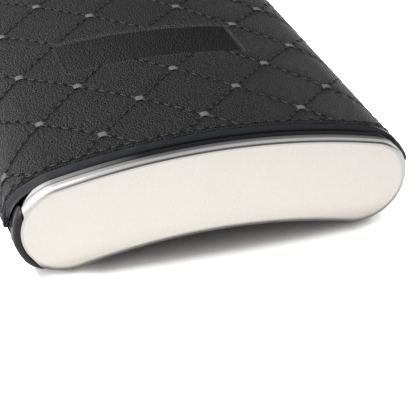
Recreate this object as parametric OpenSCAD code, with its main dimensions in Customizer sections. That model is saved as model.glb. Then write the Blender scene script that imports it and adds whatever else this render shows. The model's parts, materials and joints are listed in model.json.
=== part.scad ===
// Leather-wrapped steel hip flask with a captive screw cap, lying on its hollow back.
// +Y runs from the bottom plate to the cap, +Z through the bulging front, z = 0 is the table.

/* [Steel body] */
// Width of the steel shell across its rounded sides
shell_w = 92.7; // [86:0.1:100]
// Radius of the shell's narrow rounded sides
side_r = 11; // [10:0.1:12]
// Radius of the bulging front face
front_r = 168; // [150:1:240]
// Radius of the hollow back face that follows the hip
back_r = 137.6; // [120:0.2:200]
// Distance from the bottom plate's face to the shoulder seam
shell_l = 122; // [105:1:130]
// Thickness of the steel sheet
sheet_t = 0.6; // [0.5:0.05:0.7]
// Gap between pieces that seat in each other
seat_gap = 0.05; // [0.03:0.01:0.08]

/* [Bottom pan] */
// Height of the pan's polished side wall
pan_l = 3.2; // [2.6:0.1:4]
// Outer radius of the pan's rounded rim
rim_r = 1.2; // [0.9:0.1:1.6]

/* [Shoulder] */
// Height of the shoulder plate
shoulder_h = 4; // [3.6:0.1:5]
// Radius of the shoulder's rounded edge
shoulder_r = 3; // [2:0.1:3.4]

/* [Neck] */
// Radius of the mouth
mouth_r = 6.8; // [6:0.1:7.1]
// Outer radius of the spout where the cap screws on
spout_r = 8; // [7.7:0.1:8.2]
// Height of the spout above the shoulder
spout_h = 10.2; // [9.6:0.1:10.8]
// Depth of the spout below the top of the shoulder
spout_depth = 2.6; // [2.2:0.1:3.5]
// Radius of the collar round the foot of the spout
collar_r = 9.6; // [9.2:0.1:10]
// Height of the collar above the shoulder
collar_h = 1; // [0.6:0.1:1.4]

/* [Cap] */
// Running gap between the spout and the cap's liner, wide enough for the cap to swing off
cap_clear = 0.95; // [0.9:0.01:1.2]
// Wall of the plastic liner
insert_t = 0.9; // [0.7:0.05:1.2]
// Height of the cap's side wall
cap_h = 12; // [11.6:0.1:12.4]
// Thickness of the cap's steel top
cap_top_t = 0.8; // [0.6:0.1:1]
// Radius of the cap's rounded top edge
cap_edge_r = 1.4; // [0.8:0.1:1.8]
// Number of grip flutes round the cap
flutes = 36; // [24:1:44]
// Depth of each grip flute
flute_depth = 0.25; // [0.15:0.05:0.35]
// Thickness of the sealing disc
gasket_t = 1.4; // [1:0.1:1.6]
// Gap between the closed seal and the lip of the spout
seal_gap = 0.2; // [0.1:0.05:0.3]

/* [Hinge] */
// Distance from the neck's axis to the hinge pin
hinge_x = 15; // [14.8:0.1:16]
// Height of the hinge pin above the shoulder
hinge_h = 4.2; // [4:0.1:5]
// Radius of the hinge pin
pin_r = 1; // [0.8:0.05:1.1]
// Running gap round the pin and the rivet
run_gap = 0.05; // [0.03:0.01:0.08]
// Travel of the pin in the bracket's slots while the cap unscrews
lift = 2.6; // [2:0.1:2.8]
// Width of the flat strip that the arm is bent from
arm_w = 5; // [4:0.1:6]
// Thickness of the arm's strip
arm_t = 1.2; // [0.9:0.05:1.3]
// Gap between the arm and the cap's side
arm_gap = 0.6; // [0.4:0.05:0.8]
// Thickness of the bracket's sheet
bracket_t = 1; // [0.8:0.05:1.2]
// Side play between the arm's eye and each ear of the bracket
ear_play = 0.15; // [0.1:0.01:0.25]
// Metal round the pin in the ears and the eye
eye_wall = 0.9; // [0.7:0.05:1]
// Radius of the rivet's shank
rivet_r = 1.2; // [1:0.05:1.4]
// Radius of the rivet's domed head
rivet_head_r = 2.6; // [2.2:0.1:3]
// Height of the rivet's domed head
rivet_head_h = 0.9; // [0.6:0.05:1.2]
// Thickness of the washer under the arm
washer_t = 0.4; // [0.3:0.05:0.6]

/* [Leather wrap] */
// Thickness of the stiff liner under the leather
liner_t = 0.35; // [0.25:0.05:0.5]
// Thickness of the leather
leather_t = 0.7; // [0.6:0.05:1]
// Gap between the steel rim and the wrap's bottom hem
hem_gap = 0.4; // [0.3:0.05:0.8]
// Height of the smooth turned hem at each end of the wrap
hem_h = 2.6; // [2:0.1:3.5]
// Rounding of the hem's outer edge
hem_r = 0.8; // [0.4:0.05:0.9]
// Step from the leather's face down to the hem
hem_step = 0.1; // [0.05:0.01:0.2]
// Bare steel between the wrap's top hem and the shoulder seam
top_bare = 2; // [1:0.5:6]
// Thickness of the overlapping end at its free edge
lap_t = 1.3; // [0.9:0.05:1.6]
// Angle of the overlap round the left side, from its thin start to its free edge
lap_sweep = 54; // [45:1:60]
// Distance from each end of the wrap to the overlap
lap_margin = 0.6; // [0.3:0.1:2]

/* [Blank panel] */
// Width of the plain pressed panel on the front
panel_w = 46.5; // [30:0.5:60]
// Height of the panel
panel_h = 16.4; // [10:0.2:24]
// Distance from the bottom plate to the middle of the panel
panel_y = 53.4; // [40:0.2:80]
// Sideways place of the middle of the panel
panel_x = -1.8; // [-4:0.1:4]
// Depth of the panel below the leather's face
panel_depth = 0.2; // [0.1:0.05:0.3]

/* [Hidden] */
$fa = 3;
$fs = 0.25;
arc_fn = 360;
side_fn = 72;
side_steps = 32;
face_steps = 16;
rim_steps = 5;

// Layers, each as its distance outward from the shell's outer face
pan_out = seat_gap + sheet_t;
liner_out = seat_gap + liner_t;
leather_in = liner_out + seat_gap;
leather_out = leather_in + leather_t;
hem_out = leather_out - hem_step;
lap_in = leather_out + seat_gap;

// Kidney section: centres of its four tangent arcs
side_x = shell_w / 2 - side_r;
side_z = side_r + leather_out;
front_z = side_z - sqrt(pow(front_r - side_r, 2) - pow(side_x, 2));
back_z = side_z - sqrt(pow(back_r + side_r, 2) - pow(side_x, 2));
front_a = acos(side_x / (front_r - side_r));
back_a = acos(side_x / (back_r + side_r));
reach = shell_w / 4;

// Heights along the flask
shell_y = sheet_t + seat_gap;
hem_y = pan_l + hem_gap;
leather_y = hem_y + hem_h + seat_gap;
hem_end = shell_l - top_bare;
leather_end = hem_end - hem_h - seat_gap;
shoulder_y = shell_l + shoulder_h;
spout_y = shoulder_y + spout_h;
pin_y = shoulder_y + hinge_h;

// Neck and cap: radii and the stack from the seal outward
neck_z = (front_z + front_r + back_z + back_r) / 2;
flange_r = collar_r - 2 * seat_gap;
collar_depth = spout_depth / 2;
lip_r = (spout_r - mouth_r) / 2;
insert_r = spout_r + cap_clear;
insert_out = insert_r + insert_t;
cap_in = insert_out + seat_gap;
cap_r = cap_in + sheet_t;
gasket_y = spout_y + seal_gap;
insert_y = gasket_y + gasket_t + seat_gap;
tail_r = rivet_head_r - rivet_r / 2;
tail_h = sheet_t + seat_gap;
insert_top = insert_y + 2 * tail_h + seat_gap;
cap_top = insert_top + seat_gap + cap_top_t;
rim_y = cap_top - cap_h;
washer_y = cap_top + seat_gap;
arm_y = washer_y + washer_t + seat_gap;
head_y = arm_y + arm_t + seat_gap;
flask_l = head_y + rivet_head_h;

// Hinge
strip_x = hinge_x - cap_r - arm_gap;
eye_r = pin_r + run_gap + eye_wall;
bend_r = arm_t + 0.6 * eye_wall;
ear_r = pin_r + run_gap + 0.6 * eye_wall;
ear_z = arm_w / 2 + ear_play;
bracket_z = ear_z + bracket_t;
pin_head_r = 1.7 * pin_r;
pin_head_t = 0.6;
cut = 1;

// Row frame: middle of the length and of the width, with the overlap on the left counted
middle_x = lap_t / 2;
middle_y = flask_l / 2;

module place() {
    translate([middle_x, -middle_y, 0]) children();
}

// The kidney outline, grown by o beyond the shell's outer face
module section(o = 0) {
    side_up = [cos(front_a), sin(front_a)];
    side_down = -[cos(back_a), sin(back_a)];
    difference() {
        intersection() {
            polygon([
                [side_x, side_z], [side_x, side_z] + reach * side_up,
                [-side_x - reach * side_up[0], side_z + reach * side_up[1]], [-side_x, side_z],
                [-side_x - reach * side_down[0], side_z + reach * side_down[1]],
                [side_x, side_z] + reach * side_down
            ]);
            translate([0, front_z]) circle(front_r + o, $fn = arc_fn);
        }
        translate([0, back_z]) circle(back_r - o, $fn = arc_fn);
    }
    for (side = [0, 1])
        mirror([side, 0]) translate([side_x, side_z]) difference() {
            circle(side_r + o, $fn = side_fn);
            polygon([[0, 0], reach * side_up, [-reach, reach], [-reach, -reach], reach * side_down]);
        }
}

// A straight length of the section from y0 to y1
module slab(y0, y1, o = 0) {
    translate([0, y1, 0]) rotate([90, 0, 0]) linear_extrude(y1 - y0) section(o);
}

// A tube between two offsets of the section
module tube(y0, y1, inner, outer) {
    translate([0, y1, 0]) rotate([90, 0, 0]) linear_extrude(y1 - y0) difference() {
        section(outer);
        section(inner);
    }
}

// Points of an arc, both ends included
function arc(centre, r, from, to, steps) =
    [for (i = [0:steps]) centre + r * [cos(from + (to - from) * i / steps),
                                       sin(from + (to - from) * i / steps)]];

function inner(points) = [for (i = [1:len(points) - 2]) points[i]];

// The kidney outline as points, grown by o beyond the shell's outer face
function outline(o) = concat(
    arc([side_x, side_z], side_r + o, back_a - 180, front_a, side_steps),
    inner(arc([0, front_z], front_r + o, front_a, 180 - front_a, face_steps)),
    arc([-side_x, side_z], side_r + o, 180 - front_a, 360 - back_a, side_steps),
    inner(arc([0, back_z], back_r - o, 180 - back_a, back_a, face_steps))
);

// Skins the outline over a profile of [offset, height] points, closed end to start or by two plates
module skin(profile, plates = false) {
    count = len(profile);
    n = len(outline(0));
    walls = [for (j = [0:count - (plates ? 2 : 1)]) for (i = [0:n - 1])
        let (a = j * n + i, b = j * n + (i + 1) % n, step = ((j + 1) % count - j) * n)
            each [[a, b, b + step], [a, b + step, a + step]]];
    ends = [[for (i = [n - 1:-1:0]) i], [for (i = [0:n - 1]) (count - 1) * n + i]];
    polyhedron([for (p = profile) for (q = outline(p[0])) [q[0], p[1], q[1]]],
               plates ? concat(walls, ends) : walls);
}

// A body turned about the neck's axis, from a profile of (radius, height)
module turned() {
    translate([0, 0, neck_z]) rotate([-90, 0, 0]) rotate_extrude() children();
}

// A quarter ring of the bent strip, from angle a to a + 90
module bend(outer, a) {
    intersection() {
        difference() {
            circle(outer);
            circle(outer - arm_t);
        }
        rotate(a) square(outer + cut);
    }
}

module body_shell() {
    color("lightsteelblue") place() tube(shell_y, shell_l, -sheet_t, 0);
}

// Shallow pan with a rounded, polished rim, pushed over the end of the shell
module bottom_pan() {
    color("whitesmoke") place() skin(concat(
        arc([pan_out - rim_r, rim_r], rim_r, -90, 0, rim_steps),
        [[pan_out, pan_l], [seat_gap, pan_l], [seat_gap, sheet_t]]
    ), plates = true);
}

// Plate with a hole for the collar, and a rounded edge and skirt that meet the end of the shell
module shoulder_plate() {
    edge = [-shoulder_r, shoulder_y - shoulder_r];
    skirt_y = shell_l + seat_gap;
    ring_in = -1.5 * shoulder_r;
    plate_out = -1.2 * shoulder_r;
    color("lightsteelblue") place() difference() {
        union() {
            skin(concat(
                [[0, skirt_y]],
                arc(edge, shoulder_r, 0, 90, rim_steps),
                [[ring_in, shoulder_y], [ring_in, shoulder_y - sheet_t]],
                arc(edge, shoulder_r - sheet_t, 90, 0, rim_steps),
                [[-sheet_t, skirt_y]]
            ));
            slab(shoulder_y - sheet_t, shoulder_y, plate_out);
        }
        translate([0, shoulder_y + cut, neck_z]) rotate([90, 0, 0])
            cylinder(r = collar_r + seat_gap, h = shoulder_h + 2 * cut);
    }
}

// Spout with a rolled lip and a flange that bears under the collar
module neck_spout() {
    color("silver") place() turned() {
        translate([mouth_r, shoulder_y - spout_depth])
            square([spout_r - mouth_r, spout_h + spout_depth - lip_r]);
        intersection() {
            translate([mouth_r + lip_r, spout_y - lip_r]) circle(lip_r, $fn = 32);
            translate([mouth_r, spout_y - lip_r]) square(2 * lip_r);
        }
        translate([mouth_r, shoulder_y - spout_depth])
            square([flange_r - mouth_r, spout_depth - collar_depth - seat_gap]);
    }
}

module neck_collar() {
    inner = spout_r + seat_gap;
    height = collar_depth + collar_h;
    soft = collar_h / 2;
    color("silver") place() turned() translate([inner, shoulder_y - collar_depth]) {
        square([collar_r - inner, height - soft]);
        square([collar_r - inner - soft, height]);
        translate([collar_r - inner - soft, height - soft]) intersection() {
            circle(soft, $fn = 32);
            square(soft);
        }
    }
}

module wrap_liner() {
    color("dimgray") place() tube(leather_y, leather_end, seat_gap, liner_out);
}

// Leather skin with a plain pressed panel on the front
module leather_wrap() {
    color([0.2, 0.19, 0.18]) place() difference() {
        tube(leather_y, leather_end, leather_in, leather_out);
        intersection() {
            translate([panel_x - panel_w / 2, panel_y - panel_h / 2, side_z])
                cube([panel_w, panel_h, side_z * 2]);
            tube(panel_y - panel_h, panel_y + panel_h, leather_out - panel_depth, leather_out + cut);
        }
    }
}

// One turned hem, with its rounded edge at height 0
module hem() {
    color([0.08, 0.08, 0.1]) skin(concat(
        [[seat_gap, 0]],
        arc([hem_out - hem_r, hem_r], hem_r, -90, 0, rim_steps),
        [[hem_out, hem_h], [seat_gap, hem_h]]
    ));
}

module hem_bottom() {
    place() translate([0, hem_y, 0]) hem();
}

module hem_top() {
    place() translate([0, hem_end, 0]) mirror([0, 1, 0]) hem();
}

// Overlapping end of the leather on the left side: a crescent that rises to its free edge
module seam_overlap() {
    side = side_r + lap_in;
    taper = 0.75;
    shift = lap_t / (1 - taper * cos(lap_sweep));
    color([0.16, 0.15, 0.15]) place() translate([0, hem_end - lap_margin, 0]) rotate([90, 0, 0])
        linear_extrude(hem_end - hem_y - 2 * lap_margin)
            translate([-side_x, side_z]) difference() {
                intersection() {
                    translate([-shift, 0]) circle(side + lap_t - seat_gap - shift, $fn = 128);
                    polygon([[0, 0], [-reach, 0], [-reach, reach],
                             reach * [-cos(lap_sweep), sin(lap_sweep)]]);
                }
                circle(side, $fn = 128);
            }
}

// Folded bracket on the shoulder, with a slot for the pin in each ear
module hinge_bracket() {
    color("silver") place() translate([-hinge_x, pin_y, neck_z]) {
        for (z = [-bracket_z, ear_z])
            translate([0, 0, z]) linear_extrude(bracket_t) difference() {
                union() {
                    translate([0, lift]) circle(ear_r, $fn = 48);
                    translate([-ear_r, -hinge_h]) square([2 * ear_r, hinge_h + lift]);
                }
                circle(pin_r + run_gap, $fn = 48);
                translate([0, lift]) circle(pin_r + run_gap, $fn = 48);
                translate([-pin_r - run_gap, 0]) square([2 * (pin_r + run_gap), lift]);
            }
        translate([-ear_r, -hinge_h, -ear_z]) cube([2 * ear_r, bracket_t, 2 * ear_z]);
    }
}

module hinge_pin() {
    head_z = bracket_z + seat_gap;
    color("gainsboro") place() translate([-hinge_x, pin_y, neck_z]) {
        translate([0, 0, -head_z]) cylinder(r = pin_r, h = 2 * head_z, $fn = 48);
        for (z = [-head_z - pin_head_t, head_z])
            translate([0, 0, z]) cylinder(r = pin_head_r, h = pin_head_t, $fn = 48);
    }
}

// Arm bent from flat strip: rolled eye, foot, upright beside the cap, and a run over its top
module hinge_arm() {
    top = arm_y - pin_y;
    foot_y = -eye_r;
    upright_x = strip_x - arm_t;
    color("silver") place() translate([-hinge_x, pin_y, neck_z]) {
        translate([0, 0, -arm_w / 2]) linear_extrude(arm_w) difference() {
            union() {
                circle(eye_r, $fn = 64);
                translate([0, foot_y]) square([strip_x - bend_r, arm_t]);
                translate([strip_x - bend_r, foot_y + bend_r]) bend(bend_r, -90);
                translate([upright_x, foot_y + bend_r])
                    square([arm_t, top + arm_t - bend_r - foot_y - bend_r]);
                translate([upright_x + bend_r, top + arm_t - bend_r]) bend(bend_r, 90);
                translate([upright_x + bend_r, top])
                    square([hinge_x - upright_x - bend_r - rivet_head_r, arm_t]);
            }
            circle(pin_r + run_gap, $fn = 64);
        }
        difference() {
            translate([hinge_x, top, 0]) rotate([-90, 0, 0]) {
                cylinder(r = rivet_head_r + arm_t / 2, h = arm_t, $fn = 64);
                translate([-rivet_head_r - arm_t, -arm_w / 2, 0])
                    cube([rivet_head_r + arm_t, arm_w, arm_t]);
            }
            translate([hinge_x, top - cut, 0]) rotate([-90, 0, 0])
                cylinder(r = rivet_r + run_gap, h = arm_t + 2 * cut, $fn = 48);
        }
    }
}

// Rivet from its domed head over the arm to its peened tail under the cap's top
module swivel_rivet() {
    tail_y = insert_top + seat_gap - tail_h;
    dome_r = (pow(rivet_head_r, 2) + pow(rivet_head_h, 2)) / (2 * rivet_head_h);
    color("gainsboro") place() turned() {
        translate([0, tail_y]) square([rivet_r, head_y - tail_y]);
        translate([0, tail_y]) square([tail_r, tail_h - seat_gap]);
        intersection() {
            translate([0, head_y + rivet_head_h - dome_r]) circle(dome_r, $fn = 128);
            translate([0, head_y]) square([rivet_head_r, rivet_head_h]);
        }
    }
}

module swivel_washer() {
    color("gainsboro") place() turned()
        translate([rivet_r + run_gap, washer_y])
            square([rivet_head_r - rivet_r - run_gap, washer_t]);
}

// Steel cup with a rounded top edge and a band of grip flutes
module cap_shell() {
    flute_r = 2 * flute_depth;
    band = [rim_y + cap_edge_r, cap_top - 2 * cap_edge_r];
    color("gainsboro") place() difference() {
        turned() difference() {
            union() {
                translate([0, rim_y]) square([cap_r, cap_h - cap_edge_r]);
                translate([0, rim_y]) square([cap_r - cap_edge_r, cap_h]);
                translate([cap_r - cap_edge_r, cap_top - cap_edge_r]) intersection() {
                    circle(cap_edge_r, $fn = 48);
                    square(cap_edge_r);
                }
            }
            translate([0, rim_y - cut]) square([cap_in, cap_h - cap_top_t + cut]);
            square([rivet_r + seat_gap, cap_top + cut]);
        }
        for (i = [0:flutes - 1])
            translate([0, band[0], neck_z]) rotate([0, (i + 0.5) * 360 / flutes, 0])
                translate([cap_r - flute_depth + flute_r, 0, 0]) rotate([-90, 0, 0])
                    cylinder(r = flute_r, h = band[1] - band[0], $fn = 24);
    }
}

// Plastic liner of the cap, with a pocket for the rivet's tail
module cap_insert() {
    color("ivory") place() turned() difference() {
        translate([0, rim_y + sheet_t]) square([insert_out, insert_top - rim_y - sheet_t]);
        translate([0, rim_y]) square([insert_r, insert_y - rim_y]);
        translate([0, insert_top - tail_h - seat_gap])
            square([tail_r + seat_gap, tail_h + cut]);
        translate([insert_out, insert_top]) rotate(45)
            square(cap_edge_r, center = true);
    }
}

module cap_gasket() {
    color("white") place() turned()
        translate([0, gasket_y]) square([insert_r - seat_gap, gasket_t]);
}

body_shell();
bottom_pan();
shoulder_plate();
neck_spout();
neck_collar();
wrap_liner();
leather_wrap();
hem_bottom();
hem_top();
seam_overlap();
hinge_bracket();
hinge_pin();
hinge_arm();
swivel_rivet();
swivel_washer();
cap_shell();
cap_insert();
cap_gasket();
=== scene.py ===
import math

import bmesh
import bpy
import numpy as np
from mathutils import Matrix, Vector
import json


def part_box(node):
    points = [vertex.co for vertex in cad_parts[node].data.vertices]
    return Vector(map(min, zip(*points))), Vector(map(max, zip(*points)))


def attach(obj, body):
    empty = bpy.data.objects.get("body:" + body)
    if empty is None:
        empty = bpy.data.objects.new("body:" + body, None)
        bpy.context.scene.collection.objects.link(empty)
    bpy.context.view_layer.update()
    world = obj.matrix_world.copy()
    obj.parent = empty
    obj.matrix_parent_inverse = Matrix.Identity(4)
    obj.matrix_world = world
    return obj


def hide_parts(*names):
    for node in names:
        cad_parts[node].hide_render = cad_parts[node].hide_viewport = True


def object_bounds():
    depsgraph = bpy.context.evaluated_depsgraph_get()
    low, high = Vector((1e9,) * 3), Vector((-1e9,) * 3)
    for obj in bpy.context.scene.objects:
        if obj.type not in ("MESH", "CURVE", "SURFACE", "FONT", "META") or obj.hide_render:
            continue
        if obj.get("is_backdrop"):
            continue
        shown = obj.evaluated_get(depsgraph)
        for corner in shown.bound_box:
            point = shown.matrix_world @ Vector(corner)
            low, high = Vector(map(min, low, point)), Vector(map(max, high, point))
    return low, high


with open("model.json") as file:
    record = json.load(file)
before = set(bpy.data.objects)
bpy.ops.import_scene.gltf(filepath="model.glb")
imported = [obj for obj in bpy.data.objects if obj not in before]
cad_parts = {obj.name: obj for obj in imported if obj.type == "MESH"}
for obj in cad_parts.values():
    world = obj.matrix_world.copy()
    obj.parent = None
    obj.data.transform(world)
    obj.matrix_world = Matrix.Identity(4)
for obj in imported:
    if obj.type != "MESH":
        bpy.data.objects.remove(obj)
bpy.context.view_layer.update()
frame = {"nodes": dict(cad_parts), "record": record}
print("frame loaded")

millimetre = 0.001
scene = bpy.context.scene


def fromHex(code):
    # sRGB hex to the linear colour that the shaders use
    parts = [int(code[i:i + 2], 16) / 255 for i in (0, 2, 4)]
    return tuple(p / 12.92 if p <= 0.04045 else ((p + 0.055) / 1.055) ** 2.4 for p in parts) + (1.0,)


def addNode(tree, kind, settings=None, links=None):
    # settings go to a property or, failing that, to an input; links join inputs to output sockets.
    # A colour mix takes its two colours at its inputs 6 and 7
    node = tree.nodes.new(kind)
    for name, value in (settings or {}).items():
        if isinstance(name, str) and hasattr(node, name):
            setattr(node, name, value)
        else:
            node.inputs[name].default_value = value
    for name, socket in (links or {}).items():
        tree.links.new(socket, node.inputs[name])
    return node


def smoothStep(low, high, value):
    t = np.clip((value - low) / (high - low), 0.0, 1.0)
    return t * t * (3 - 2 * t)


def newMaterial(name):
    material = bpy.data.materials.new(name)
    material.use_nodes = True
    material.node_tree.nodes.clear()
    return material, material.node_tree


def shadeBySharpness(mesh, degrees):
    # smooth faces, with the edges that turn more than this left sharp
    work = bmesh.new()
    work.from_mesh(mesh)
    for face in work.faces:
        face.smooth = True
    for edge in work.edges:
        edge.smooth = len(edge.link_faces) == 2 and edge.calc_face_angle(0) < math.radians(degrees)
    work.to_mesh(mesh)
    work.free()


def meshPiece(name, points, faces, materials, body, sharp=40):
    # points in millimetres in the row frame
    mesh = bpy.data.meshes.new(name)
    mesh.from_pydata((np.asarray(points) * millimetre).tolist(), [], faces)
    mesh.validate()
    piece = bpy.data.objects.new(name, mesh)
    scene.collection.objects.link(piece)
    for material in materials:
        mesh.materials.append(material)
    shadeBySharpness(mesh, sharp)
    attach(piece, body)
    return piece


def writeLayer(piece, name, values):
    # a number per point, for the piece's material to read
    piece.data.attributes.new(name, "FLOAT", "POINT").data.foreach_set("value", values.ravel())


def gridFaces(columns, rows, wrapColumns, wrapRows):
    # quads of a grid of points stored column by column
    faces = []
    for i in range(columns if wrapColumns else columns - 1):
        a = i * rows
        b = (i + 1) % columns * rows
        for j in range(rows if wrapRows else rows - 1):
            k = (j + 1) % rows
            faces.append((a + j, b + j, b + k, a + k))
    return faces


# The flask's kidney section, in millimetres
kidney = {
    "sideRadius": 11.0,
    "frontRadius": 168.0,
    "backRadius": 137.6,
    "leatherFace": 1.15,  # leather's face beyond the shell's
}
shellLow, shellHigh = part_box("body_shell")
middleX = (shellLow.x + shellHigh.x) / 2 / millimetre
sideX = (shellHigh.x - shellLow.x) / 2 / millimetre - kidney["sideRadius"]
sideZ = kidney["sideRadius"] + kidney["leatherFace"]
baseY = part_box("bottom_pan")[0].y / millimetre
frontZ = sideZ - math.sqrt((kidney["frontRadius"] - kidney["sideRadius"]) ** 2 - sideX ** 2)
backZ = sideZ - math.sqrt((kidney["backRadius"] + kidney["sideRadius"]) ** 2 - sideX ** 2)
frontTurn = math.acos(sideX / (kidney["frontRadius"] - kidney["sideRadius"]))
backTurn = math.acos(sideX / (kidney["backRadius"] + kidney["sideRadius"]))

# centre x, centre z, radius, side of the metal, start and end angle, clockwise from the front's middle
arcs = [
    (0, frontZ, kidney["frontRadius"], 1, math.pi / 2, frontTurn),
    (sideX, sideZ, kidney["sideRadius"], 1, frontTurn, backTurn - math.pi),
    (0, backZ, kidney["backRadius"], -1, backTurn, math.pi - backTurn),
    (-sideX, sideZ, kidney["sideRadius"], 1, 2 * math.pi - backTurn, math.pi - frontTurn),
    (0, frontZ, kidney["frontRadius"], 1, math.pi - frontTurn, math.pi / 2),
]
arcLengths = [(a[2] + a[3] * kidney["leatherFace"]) * abs(a[5] - a[4]) for a in arcs]
arcStarts = np.concatenate([[0], np.cumsum(arcLengths)])
girth = arcStarts[-1]


def around(place, offset):
    # x, z and outward normal at a place along the leather's face, offset from the shell's face
    place, offset = np.broadcast_arrays(np.asarray(place, float) % girth, np.asarray(offset, float))
    x, z, nx, nz = (np.zeros(place.shape) for _ in range(4))
    index = np.clip(np.searchsorted(arcStarts, place, side="right") - 1, 0, len(arcs) - 1)
    for k, (cx, cz, radius, sense, start, end) in enumerate(arcs):
        on = index == k
        angle = start + (end - start) * (place[on] - arcStarts[k]) / arcLengths[k]
        reach = radius + sense * offset[on]
        x[on] = cx + reach * np.cos(angle)
        z[on] = cz + reach * np.sin(angle)
        nx[on] = sense * np.cos(angle)
        nz[on] = sense * np.sin(angle)
    return x, z, nx, nz


def onFlask(place, height, offset):
    # points in the row frame, and their outward normals
    place, height, offset = np.broadcast_arrays(place, height, offset)
    x, z, nx, nz = around(place, offset)
    points = np.stack([x + middleX, height + baseY, z], -1)
    return points, np.stack([nx, np.zeros_like(nx), nz], -1)


print("kidney section: girth %.1f mm" % girth)

view = {
    "target": (-2.16, -71.35, 11.42),  # mm
    "distance": 268.1,  # mm
    "azimuth": 0.3484,  # radians
    "elevation": 0.5816,
    "roll": 0.0382,
    "focalPixels": 1187.31,
    "framePixels": 420,
}
az, el, roll = view["azimuth"], view["elevation"], view["roll"]
ahead = Vector((math.sin(az) * math.cos(el), math.cos(az) * math.cos(el), -math.sin(el)))
level = ahead.cross(Vector((0, 0, 1))).normalized()
upward = level.cross(ahead)
right = math.cos(roll) * level + math.sin(roll) * upward
up = -math.sin(roll) * level + math.cos(roll) * upward
cameraData = bpy.data.cameras.new("camera")
cameraData.sensor_width = 36
cameraData.lens = view["focalPixels"] / view["framePixels"] * cameraData.sensor_width
cameraData.clip_start = 0.005
cameraData.clip_end = 20
camera = bpy.data.objects.new("camera", cameraData)
scene.collection.objects.link(camera)
camera.matrix_world = Matrix((
    (right.x, up.x, -ahead.x, (view["target"][0] - view["distance"] * ahead.x) * millimetre),
    (right.y, up.y, -ahead.y, (view["target"][1] - view["distance"] * ahead.y) * millimetre),
    (right.z, up.z, -ahead.z, (view["target"][2] - view["distance"] * ahead.z) * millimetre),
    (0, 0, 0, 1),
))
scene.camera = camera
scene.view_settings.view_transform = "Standard"
print("camera placed")


def stainlessSatin():
    # 304 stainless sheet, fine bead-blasted: a pale even grey-white that blurs what it mirrors
    material, tree = newMaterial("stainlessSatin")
    place = addNode(tree, "ShaderNodeTexCoord").outputs["Object"]
    cloud = addNode(tree, "ShaderNodeTexNoise", {"Scale": 60, "Detail": 3}, {"Vector": place})
    tone = addNode(tree, "ShaderNodeMix", {"data_type": "RGBA", 6: fromHex("F3EEE6"), 7: fromHex("F7F3EC")},
                   {0: cloud.outputs["Fac"]})
    grit = addNode(tree, "ShaderNodeTexNoise", {"Scale": 2600, "Detail": 2}, {"Vector": place})
    gloss = addNode(tree, "ShaderNodeMapRange",
                    {"From Min": 0.3, "From Max": 0.7, "To Min": 0.27, "To Max": 0.33},
                    {"Value": grit.outputs["Fac"]})
    bump = addNode(tree, "ShaderNodeBump", {"Strength": 0.02, "Distance": 0.0002},
                   {"Height": grit.outputs["Fac"]})
    shader = addNode(tree, "ShaderNodeBsdfPrincipled", {"Metallic": 1.0},
                     {"Base Color": tone.outputs[2], "Roughness": gloss.outputs[0],
                      "Normal": bump.outputs[0]})
    addNode(tree, "ShaderNodeOutputMaterial", links={"Surface": shader.outputs[0]})
    return material


def stainlessPolished():
    # 304 stainless, buffed: a near mirror with faint buffing haze
    material, tree = newMaterial("stainlessPolished")
    place = addNode(tree, "ShaderNodeTexCoord").outputs["Object"]
    haze = addNode(tree, "ShaderNodeTexNoise", {"Scale": 180, "Detail": 4}, {"Vector": place})
    gloss = addNode(tree, "ShaderNodeMapRange",
                    {"From Min": 0.35, "From Max": 0.75, "To Min": 0.06, "To Max": 0.12},
                    {"Value": haze.outputs["Fac"]})
    shader = addNode(tree, "ShaderNodeBsdfPrincipled", {"Metallic": 1.0, "Base Color": fromHex("DEDCDA")},
                     {"Roughness": gloss.outputs[0]})
    addNode(tree, "ShaderNodeOutputMaterial", links={"Surface": shader.outputs[0]})
    return material


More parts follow.
